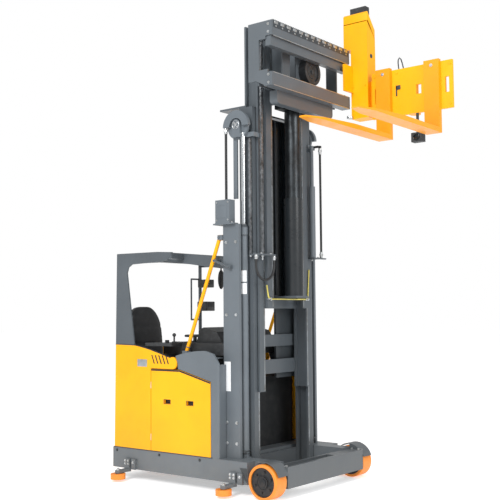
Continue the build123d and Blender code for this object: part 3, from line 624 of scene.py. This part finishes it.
# Seat: black leather over foam. The cushion is crowned and the backrest narrows to a rounded
# top; sewn channels pull in across each, three on the cushion and two on the backrest.
def add_pad(piece, centre, size, matrix, channels):
    """A crowned pad: a rounded block whose faces swell and whose channels pull in."""
    channel_width = 0.03
    half = Vector(size) / 2
    bpy.ops.mesh.primitive_cube_add(size=2)
    bpy.ops.mesh.subdivide(number_cuts=28)
    bpy.ops.object.mode_set(mode="OBJECT")
    for vert in piece.data.vertices:
        x, y, z = vert.co
        length = (abs(x) ** 5 + abs(y) ** 5 + abs(z) ** 5) ** 0.2
        spot = Vector((x, y, z)) / length
        spot.z *= 1 - 0.10 * (1 - (1 - x * x) * (1 - y * y))
        for line, depth in channels:
            if abs(z) > 0.5:
                spot.z -= math.copysign(depth * math.exp(-(((x - line) / channel_width) ** 2)), spot.z)
        vert.co = matrix @ (Vector(centre) + Vector((spot.x * half.x, spot.y * half.y, spot.z * half.z)))


leather = moulded("black_seat_leather", "1F2022", "47474A", 0.38, 420, 0.0005, 0.25)
low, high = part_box("seat_cushion")
size = high - low
cushion = begin("padded_cushion")
add_pad(
    cushion,
    (low + high) / 2,
    (size.x - 0.004, size.y - 0.004, size.z - 0.002),
    Matrix.Identity(4),
    ((-0.45, 0.10), (0.15, 0.08), (0.62, 0.08)),
)
finish_piece(cushion, "truck", leather, 60)
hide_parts("seat_cushion")
low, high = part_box("seat_backrest")
tall = high.z - low.z
middle = (low + high) / 2
back_thickness = 0.098
turn = Matrix.Rotation(math.radians(-7), 4, "Y") @ Matrix.Rotation(math.radians(90), 4, "Y")
backrest = begin("padded_backrest")
add_pad(
    backrest,
    (0, 0, 0),
    (tall * 0.985, (high.y - low.y) * 0.985, back_thickness),
    Matrix.Translation(middle) @ turn,
    ((-0.30, 0.14), (0.30, 0.14)),
)
for vert in backrest.data.vertices:
    local = turn.inverted() @ (vert.co - middle)
    reach = -local.x / (tall / 2)
    if reach > 0.1:
        local.y *= 1 - 0.42 * ((reach - 0.1) / 0.9) ** 2.2
    vert.co = middle + turn @ local
finish_piece(backrest, "truck", leather, 60)
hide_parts("seat_backrest")

# Console: grained black plastic with two rows of rounded keys, two round knobs, the hand
# wheel with its spinner knob, and dark glass on the console's display and the terminals.
black_plastic = moulded("black_grained_plastic", "232527", "55575A", 0.48, 520, 0.0004)
dark_glass = moulded("dark_display_glass", "0C1013", "1B2226", 0.08, 40, 0.00002, 0.15)
dress(black_plastic, "console", "terminals", "steering_wheel")
console_z = 1.292
key_pitch = 0.045
key_size = 0.030
piece = begin("console_controls")
for i in range(6):
    x = -0.96 + key_pitch * i
    for y in (-0.46, -0.20):
        add_box((x, y, console_z), (x + key_size, y + key_size, console_z + 0.007), 0.003)
for y in (-0.60, 0.12):
    add_round((-0.90, y, console_z), (-0.90, y, console_z + 0.026), 0.020, 28, 0.004)
add_round((-0.79, -0.255, 1.352), (-0.79, -0.255, 1.400), 0.016, 24, 0.006)
finish_piece(piece, "truck", black_trim)
piece = begin("display_glass")
add_box((-0.655, -0.30, 1.400), (-0.640, -0.06, 1.405), 0.002, 60)
add_box((-1.4270, 0.437, 1.850), (-1.4262, 0.537, 1.915))
for z0, z1 in ((1.850, 1.915), (1.602, 1.678)):
    add_box((-1.2962, 0.436, z0), (-1.2945, 0.538, z1), 0.0006)
finish_piece(piece, "truck", dark_glass)

# Front panels: grey enamelled sheet with rounded shoulders, fitted between the doors and the
# columns. A bare white plate is stuck on each column beside them.
white_plate = moulded("bare_white_plate", "E4E6E8", "C4C8CA", 0.35, 80, 0.00005, 0.3)
dress(grey_paint, "front_panels")
column_y = 0.600
piece = begin("bare_panel_plate")
for side in (-1, 1):
    y0, y1 = sorted((side * (column_y + 0.0002), side * (column_y + 0.0012)))
    add_box((-0.198, y0, 0.875), (-0.125, y1, 1.135), 0.0003)
finish_piece(piece, "truck", white_plate)

# Overhead guard: one wide bent pillar and a roof of folded bars, in the mast's grey enamel,
# bolted together along both sides.
dress(mast_paint, "overhead_guard")
piece = begin("guard_bolts")
for x in (-1.43, -1.21, -0.99, -0.77):
    for side in (-1, 1):
        add_bolt((x, side * 0.535, 2.112), (0, side, 0), 0.017, 0.007)
finish_piece(piece, "truck", zinc)

# Mirror: an oval shell of black moulded rubber, hung from the roof on a short rod of the same
# dark tone.
dress(black_trim, "mirror")

# Columns, shelf and valve box: grey enamelled box section bolted to the mast at four heights.
# The shelf on top is bolted down, and the box has a plain lid with four small screws.
dress(grey_paint, "mast_columns")
shelf_z = 2.372
box_y = -0.640
piece = begin("column_bolts")
for side in (-1, 1):
    for z in (0.42, 0.60, 1.55, 2.20):
        for x in (-0.170, -0.060):
            add_bolt((x, side * column_y, z), (0, side, 0), 0.020, 0.009)
    for x in (-0.27, -0.08):
        add_bolt((x, side * 0.625, shelf_z), (0, 0, 1), 0.016, 0.007)
for x in (-0.245, -0.115):
    for z in (2.40, 2.56):
        add_bolt((x, box_y, z), (0, -1, 0), 0.012, 0.005)
finish_piece(piece, "truck", zinc)
piece = begin("valve_box_lid")
add_box((-0.235, box_y - 0.0025, 2.42), (-0.125, box_y, 2.53), 0.0008)
finish_piece(piece, "truck", grey_paint)

# Braces: steel tubes in yellow enamel. Each end is a grey clevis on a steel pin, and a
# rolled collar goes round the tube above the lower clevis.
dress(yellow_paint, "mast_braces")
low_pin = (-0.661, 1.200)
high_pin = (-0.245, 2.250)
piece = begin("brace_ends")
for side in (-1, 1):
    y = side * 0.594
    add_box((-0.692, y - 0.028, 1.1702), (-0.630, y + 0.028, 1.222), 0.006)
    add_box((-0.262, y - 0.021, 2.224), (-0.2055, y + 0.006, 2.270), 0.006)
    add_round((low_pin[0], y - 0.036, low_pin[1]), (low_pin[0], y + 0.036, low_pin[1]), 0.010, 20, 0.002)
    add_round((high_pin[0], y - 0.030, high_pin[1]), (high_pin[0], y + 0.010, high_pin[1]), 0.010, 20, 0.002)
    add_ring((-0.640, y, 1.258), (0.411, 0, 1.042), 0.0185, 0.004, 28, 8)
finish_piece(piece, "truck", grey_paint)

# Plate behind the mast's left half: dark painted sheet bolted on the outer mast's ties, with
# a folded edge along its open side.
plate_bottom = 0.950
plate_top = 2.308
plate_open_y = 0.105
piece = begin("mast_back_plate")
add_box((-0.1500, plate_open_y, plate_bottom), (-0.1455, 0.452, plate_top), 0.001)
add_box((-0.1700, plate_open_y, plate_bottom), (-0.1500, plate_open_y + 0.005, plate_top), 0.001)
finish_piece(piece, "truck", dark_paint)


# Mast channels: rolled steel sections in grey enamel, worn bright and greased down the front
# of each flange, where the rollers run. Bolts hold the ties behind the outer and middle
# stages, and a roller's pin shows on each side of the middle one.
def add_run(side, inner_y, x, bottom, top):
    """The greased strip that the rollers keep bright, along the front of a channel's flange."""
    y0, y1 = sorted((side * inner_y, side * (inner_y + 0.016)))
    add_box((x, y0, bottom), (x + 0.0008, y1, top))


greased = metal("greased_rolled_steel", "8E9397", "5B554B", 0.22, (1, 1, 0.1), 0.8)
dress(mast_paint, "outer_mast", "middle_mast", "inner_mast")
piece = begin("outer_mast_fittings")
for side in (-1, 1):
    for z in (0.14, 0.24, 1.275, 1.335, 2.225, 2.285):
        for y in (0.41, 0.44):
            add_bolt((-0.145, side * y, z), (-1, 0, 0))
    add_run(side, 0.381, 0.0268, 0.30, 3.43)
finish_piece(piece, "truck", greased)
piece = begin("middle_mast_fittings")
for side in (-1, 1):
    add_run(side, 0.330, 0.0548, 0.87, 4.19)
    for z in (4.10, 4.17):
        add_bolt((-0.116, side * 0.34, z), (-1, 0, 0))
    add_round((-0.0205, side * 0.408, 3.330), (-0.0205, side * 0.409, 3.330), 0.030, 28)
finish_piece(piece, "raised_mast", greased)
piece = begin("inner_mast_runs")
for side in (-1, 1):
    add_run(side, 0.234, 0.0828, 1.62, 4.17)
finish_piece(piece, "top_mast", greased)

# Screen behind the inner mast: dark polycarbonate sheet, so smooth that it mirrors what is
# near, with three painted steel ribs that hold it flat.
dress(dark_glass, "mast_screen")
rib_x = -0.062
rib_bottom = 1.73
rib_top = 3.38
piece = begin("screen_ribs")
add_box((rib_x, -0.012, rib_bottom), (rib_x + 0.012, 0.012, rib_top), 0.003)
for y in (-0.20, 0.20):
    add_box((rib_x, y - 0.006, rib_bottom), (rib_x + 0.006, y + 0.006, rib_top), 0.002)
finish_piece(piece, "top_mast", dark_paint)


# Lift cylinders: seamless tubes in grey enamel with dark glands and an elbow at the foot, and
# chromed rods. The free-lift cylinder and its steel plunger are coloured near black as painted
# shade, standing in for the darkness that lies over them rather than their own finish. Two bare
# white plates are bent round the right tube.
def wrap_plate(centre, radius, z0, z1, start, sweep):
    """A thin plate bent round an upright tube, spun from its first edge."""
    angle = math.radians(start)
    edge = []
    for reach, z in ((radius, z0), (radius + 0.0008, z0), (radius + 0.0008, z1), (radius, z1)):
        edge.append((centre[0] + reach * math.cos(angle), centre[1] + reach * math.sin(angle), z))
    drawn = bmesh.from_edit_mesh(bpy.context.edit_object.data)
    face = drawn.faces.new([drawn.verts.new(point) for point in edge])
    face.select = True
    drawn.select_flush_mode()
    bmesh.update_edit_mesh(bpy.context.edit_object.data)
    bpy.ops.mesh.spin(steps=10, angle=-math.radians(sweep), center=(*centre, 0), axis=(0, 0, 1))
    bpy.ops.mesh.select_all(action="DESELECT")


chrome = metal("chrome_plated_rod", "D5D9DC", "B4B8BA", 0.10, (1, 1, 0.05))
# Painted shade: the free-lift cylinder's and plunger's near-black colours stand in for the shade over them,
# not their own finish.
free_lift_painted_shade = paint("near_black_painted_shade_paint", "1E2225", "4A4E50", "46433C", 0.28, 0.3)
plunger_painted_shade = metal("plunger_painted_shade_steel", "3A3E41", "232425", 0.24, (1, 1, 0.05), 0.8)
dress(grey_paint, "lift_cylinder_tubes", "side_cylinder")
dress(chrome, "lift_rods")
dress(free_lift_painted_shade, "free_lift_cylinder")
dress(plunger_painted_shade, "free_lift_plunger")
cylinder_x = -0.046
cylinder_y = 0.500
tube_top = 2.345
elbow_z = 0.345
piece = begin("cylinder_glands")
for side in (-1, 1):
    y = side * cylinder_y
    for z in (0.330, 0.352, 2.262, 2.338):
        add_ring((cylinder_x, y, z), (0, 0, 1), 0.041, 0.004, 36, 8)
    add_round((cylinder_x, y, tube_top), (cylinder_x, y, tube_top + 0.017), 0.034, 32, 0.004)
    add_round((cylinder_x, y, elbow_z), (-0.015, y + side * 0.05, elbow_z), 0.014, 20, 0.003)
    for dx in (-0.034, 0.034):
        for dy in (-0.019, 0.035):
            add_bolt((cylinder_x + dx, y + side * dy, 0.300), (0, 0, 1), 0.013, 0.006)
finish_piece(piece, "truck", dark_paint)
piece = begin("bare_tube_plates")
for z0, z1 in ((1.845, 1.945), (1.735, 1.832)):
    wrap_plate((cylinder_x, -cylinder_y), 0.0382, z0, z1, 240, 105)
finish_piece(piece, "truck", white_plate)

# Sheave brackets: cast half rings over a round boss, in grey enamel. A turned ring, a centre
# pin and four zinc-plated bolts close each boss.
dress(grey_paint, "sheave_brackets")
sheave_x = -0.097
sheave_z = 3.270
cap_y = 0.542
cap_bolt_circle = 0.026
piece = begin("sheave_caps")
for side in (-1, 1):
    for i in range(4):
        angle = math.radians(45 + 90 * i)
        x = sheave_x + cap_bolt_circle * math.cos(angle)
        z = sheave_z + cap_bolt_circle * math.sin(angle)
        add_bolt((x, side * cap_y, z), (0, side, 0), 0.014, 0.006)
    pin_end = (sheave_x, side * (cap_y + 0.007), sheave_z)
    add_round((sheave_x, side * cap_y, sheave_z), pin_end, 0.014, 24, 0.002)
    add_ring((sheave_x, side * (cap_y + 0.002), sheave_z), (0, 1, 0), 0.038, 0.002, 40, 8)
finish_piece(piece, "raised_mast", zinc)


# Lift chains: leaf chain in oiled steel, with rows of waisted link plates laced on pins. A
# long one hangs in front of the mast's right side, and one in each sheave bracket. Each ends
# in a zinc-plated anchor bolt through the lower plate.
def repeat_piece(piece, count, step):
    """Repeats what the piece holds, each copy one step on from the last."""
    bpy.ops.object.mode_set(mode="OBJECT")
    row = piece.modifiers.new("row", "ARRAY")
    row.count = count
    row.use_relative_offset = False
    row.use_constant_offset = True
    row.constant_offset_displace = step
    bpy.ops.object.modifier_apply(modifier=row.name)


def hang_chain(x, y, bottom, top, width, thickness, pitch):
    """One leaf chain as two laced sets of plates with their pins, each set repeated upwards."""
    plates = 6
    plate_pitch = width / plates
    count = int((top - bottom) / pitch)
    sets = []
    for row in (0, 1):
        links = begin("chain_set")
        middle = bottom + pitch * (row + 0.5)
        outline = []
        for k in range(12):
            angle = 2 * math.pi * k / 12
            waist = thickness / 2 * (0.82 + 0.18 * abs(math.sin(angle)))
            outline.append((x + waist * math.cos(angle), middle + pitch * 0.82 * math.sin(angle)))
        for plate in range(row, plates, 2):
            near = y - width / 2 + plate_pitch * plate
            add_plate(outline, near, near + plate_pitch * 0.86)
        pin_z = bottom + pitch * row
        add_round((x, y - width / 2, pin_z), (x, y + width / 2, pin_z), thickness * 0.16, 8)
        repeat_piece(links, (count + 1 - row) // 2, (0, 0, 2 * pitch))
        sets.append(links)
    return sets


chain_steel = metal("oiled_chain_steel", "A3A7AB", "3A352F", 0.26, (1, 1, 1), 0.85)
long_chain_x = 0.080
long_chain_y = -0.390
short_chain_x = 0.018
short_chain_y = 0.482
chain_bottom = 2.094
links = hang_chain(long_chain_x, long_chain_y, chain_bottom, 4.000, 0.026, 0.022, 0.030)
for side in (-1, 1):
    links += hang_chain(short_chain_x, side * short_chain_y, chain_bottom, 3.155, 0.023, 0.022, 0.026)
chains = begin("leaf_chains")
add_box((0.0555, -0.404, 4.000), (0.092, -0.376, 4.030), 0.003)
bpy.ops.object.mode_set(mode="OBJECT")
for chain_set in links:
    chain_set.select_set(True)
bpy.ops.object.join()
finish_piece(chains, "raised_mast", chain_steel, 30)
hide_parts("lift_chains")
anchor_z = 2.080
piece = begin("chain_anchors")
long_anchor = (long_chain_x, long_chain_y, anchor_z)
add_round((long_chain_x, long_chain_y, anchor_z - 0.040), long_anchor, 0.008, 16, 0.001)
add_bolt(long_anchor, (0, 0, -1), 0.024, 0.012)
for side in (-1, 1):
    add_bolt((short_chain_x, side * short_chain_y, anchor_z), (0, 0, -1), 0.022, 0.012)
for y in (-0.46, -0.32, 0.44):
    add_bolt((0.1205, y, 2.092), (0, 0, 1))
finish_piece(piece, "raised_mast", zinc)

# Hoses: black rubber, with a crimped steel ferrule and a hexagon at each end. The low pipe is
# steel with a yellow zinc finish, held by two clamps and a nut at each bend.
hose_rubber = moulded("black_hose_rubber", "18191B", "3B3B3C", 0.5, 700, 0.0005)
yellow_zinc = metal("yellow_zinc_pipe", "DDD070", "A89A4A", 0.28, (1, 1, 1), 0.7)
dress(hose_rubber, "mast_hoses")
dress(yellow_zinc, "mast_pipe")
ferrules = (
    # x, y, bottom, top, radius
    (0.125, -0.542, 2.040, 2.079, 0.0145),
    (0.125, -0.277, 2.040, 2.079, 0.0145),
    (0.119, 0.500, 2.093, 2.150, 0.0145),
    (0.119, 0.500, 3.110, 3.172, 0.0145),
    (-0.222, -0.530, 3.200, 3.255, 0.0150),
    (-0.222, 0.530, 3.200, 3.255, 0.0150),
)
piece = begin("hose_fittings")
for x, y, bottom, top, radius in ferrules:
    tall = top - bottom
    add_round((x, y, bottom), (x, y, top), radius, 24, 0.002)
    add_round((x, y, bottom + tall * 0.4), (x, y, bottom + tall * 0.7), radius * 1.25, 6)
finish_piece(piece, "raised_mast", zinc)
pipe_x = 0.090
pipe_z = 1.690
piece = begin("pipe_clamps")
for y in (-0.316, 0.305):
    add_round((pipe_x, y - 0.012, pipe_z), (pipe_x, y + 0.012, pipe_z), 0.011, 6)
for y in (-0.296, 0.262):
    add_box((0.083, y, pipe_z - 0.014), (0.101, y + 0.016, pipe_z + 0.014), 0.002)
finish_piece(piece, "top_mast", zinc)

# Traverse frame: rails in dark grey enamel with machined edges. A toothed rack runs along the
# top above a bolted dark strip, and hexagon bolts hold the frame's end plates.
rail_paint = paint("rail_dark_grey_paint", "565C61", "9FA4A7", "7A4E34", 0.34, 0.2)
dress(rail_paint, "traverse_frame")
rail_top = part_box("traverse_frame")[1].z
rail_half_length = 0.633
tooth_pitch = 0.0252
tooth_base = tooth_pitch * 0.55
tooth_taper = tooth_pitch * 0.13
tooth_y = -0.605
tooth_x = 0.352
tooth = (
    (tooth_x, tooth_y, rail_top),
    (tooth_x, tooth_y + tooth_base, rail_top),
    (tooth_x, tooth_y + tooth_base - tooth_taper, rail_top + 0.011),
    (tooth_x, tooth_y + tooth_taper, rail_top + 0.011),
)
piece = begin("rack_teeth")
add_slab(tooth, (0.034, 0, 0))
repeat_piece(piece, 48, (0, tooth_pitch, 0))
finish_piece(piece, "lift_carriage", greased, 30)
piece = begin("rack_backing")
add_box((0.3895, -0.612, 4.060), (0.3915, 0.612, 4.121), 0.0006)
finish_piece(piece, "lift_carriage", dark_paint)
piece = begin("rail_bolts")
for i in range(13):
    y = -0.57 + 0.095 * i
    add_box((0.3912, y - 0.028, 4.094), (0.3935, y + 0.028, 4.118), 0.001)
    add_round((0.391, y, 4.076), (0.3945, y, 4.076), 0.009, 20, 0.001)
for z in (3.544, 3.658, 3.984):
    add_box((0.3885, -0.610, z), (0.3912, 0.610, z + 0.006))
for side in (-1, 1):
    for z in (4.02, 4.09, 3.57, 3.64):
        add_bolt((0.350, side * rail_half_length, z), (0, side, 0))
finish_piece(piece, "lift_carriage", zinc)

# Traverse motor: a round cap of grained black plastic between the rails, with two pressed
# rings and a centre nut in dark paint.
dress(black_plastic, "traverse_motor")
motor_y = 0.125
motor_z = 3.826
piece = begin("motor_rings")
add_ring((0.3015, motor_y, motor_z), (1, 0, 0), 0.112, 0.004, 64, 10)
add_ring((0.292, motor_y, motor_z), (1, 0, 0), 0.060, 0.004, 48, 10)
add_bolt((0.290, motor_y, motor_z), (1, 0, 0), 0.036, 0.010)
finish_piece(piece, "lift_carriage", dark_paint)

# Traverse tower: welded plate in yellow enamel under a folded cap that slopes outwards. It
# has a dark hole in front, four bolts in its inner side and a guide wheel below the rail.
dress(yellow_paint, "traverse_carriage")
dress(black_plastic, "swivel_motor")
tower_rear_x = 0.324
tower_front_x = 0.592
tower_front_y = 0.640
tower_back_y = 0.790
piece = begin("tower_hole")
add_round((tower_front_x, 0.710, 4.054), (tower_front_x + 0.0025, 0.710, 4.054), 0.022, 28, 0.001)
finish_piece(piece, "side_shift", dark_paint)
cap_outline = (
    (tower_rear_x, tower_front_y, 4.386),
    (tower_rear_x, tower_front_y, 4.474),
    (tower_rear_x, tower_front_y + 0.014, 4.490),
    (tower_rear_x, tower_back_y, 4.330),
    (tower_rear_x, tower_back_y, 4.232),
)
piece = begin("tower_cap")
add_slab(cap_outline, (tower_front_x - tower_rear_x, 0, 0), 0.003)
for z in (3.53, 3.76):
    for x in (0.565, 0.430):
        add_bolt((x, tower_front_y, z), (0, -1, 0), 0.016, 0.006)
finish_piece(piece, "side_shift", yellow_paint)
piece = begin("tower_guide_wheel")
add_round((0.400, 0.615, 3.470), (0.400, 0.615, 3.445), 0.030, 24, 0.003)
add_round((0.404, tower_front_y, 3.458), (0.404, 0.600, 3.458), 0.012, 20, 0.002)
finish_piece(piece, "side_shift", zinc)

# Turning head: slotted plate in yellow enamel with bolts round its edges, a small dark latch,
# and a thin cable that arches over its upper edge.
dress(yellow_paint, "fork_head")
head_y = 0.660
cable_line = (
    (0.90, 0.70, 3.855),
    (0.893, 0.705, 3.895),
    (0.886, 0.712, 3.935),
    (0.884, 0.72, 3.965),
    (0.892, 0.728, 3.985),
    (0.905, 0.735, 3.970),
    (0.915, 0.74, 3.930),
    (0.925, 0.742, 3.885),
    (0.930, 0.743, 3.836),
)
piece = begin("head_fittings")
add_box((0.888, head_y - 0.008, 3.660), (0.935, head_y, 3.700), 0.002)
add_box((0.888, head_y - 0.008, 3.600), (0.900, head_y, 3.700), 0.002)
add_tube(cable_line, 0.006, 10)
finish_piece(piece, "turning_head", dark_paint)
piece = begin("head_bolts")
for x, z in ((0.650, 3.45), (0.650, 3.82), (1.445, 3.45), (1.445, 3.82), (0.90, 3.82), (1.19, 3.82)):
    add_bolt((x, head_y, z), (0, -1, 0), 0.016, 0.006)
finish_piece(piece, "turning_head", yellow_paint)

# Forks: forged steel in yellow enamel, worn to a darker tone along the blades. A thin hook
# block and a pin with a hexagon head sit at the top of each shank.
fork_paint = paint("worn_fork_enamel", "EE9808", "B98A3C", "8C6A30", 0.36, 0.2)
dress(fork_paint, "fork_1", "fork_2")
hook_half = 0.060
piece = begin("fork_pins")
for x in (0.769, 1.276):
    add_box((x - hook_half, head_y - 0.001, 3.785), (x + hook_half, head_y + 0.0005, 3.871))
    add_bolt((x, 0.615, 3.820), (0, -1, 0), 0.022, 0.010)
finish_piece(piece, "turning_head", zinc)

# Camera under the head: a black plastic housing with a round dark glass front in a raised
# rim, facing the way that the forks point.
dress(black_plastic, "fork_camera")
lens_x = 1.101
lens_z = 3.182
piece = begin("camera_lens")
add_round((lens_x, 0.640, lens_z), (lens_x, 0.634, lens_z), 0.026, 32, 0.002)
add_ring((lens_x, 0.637, lens_z), (0, 1, 0), 0.030, 0.003, 40, 8)
finish_piece(piece, "turning_head", dark_glass)
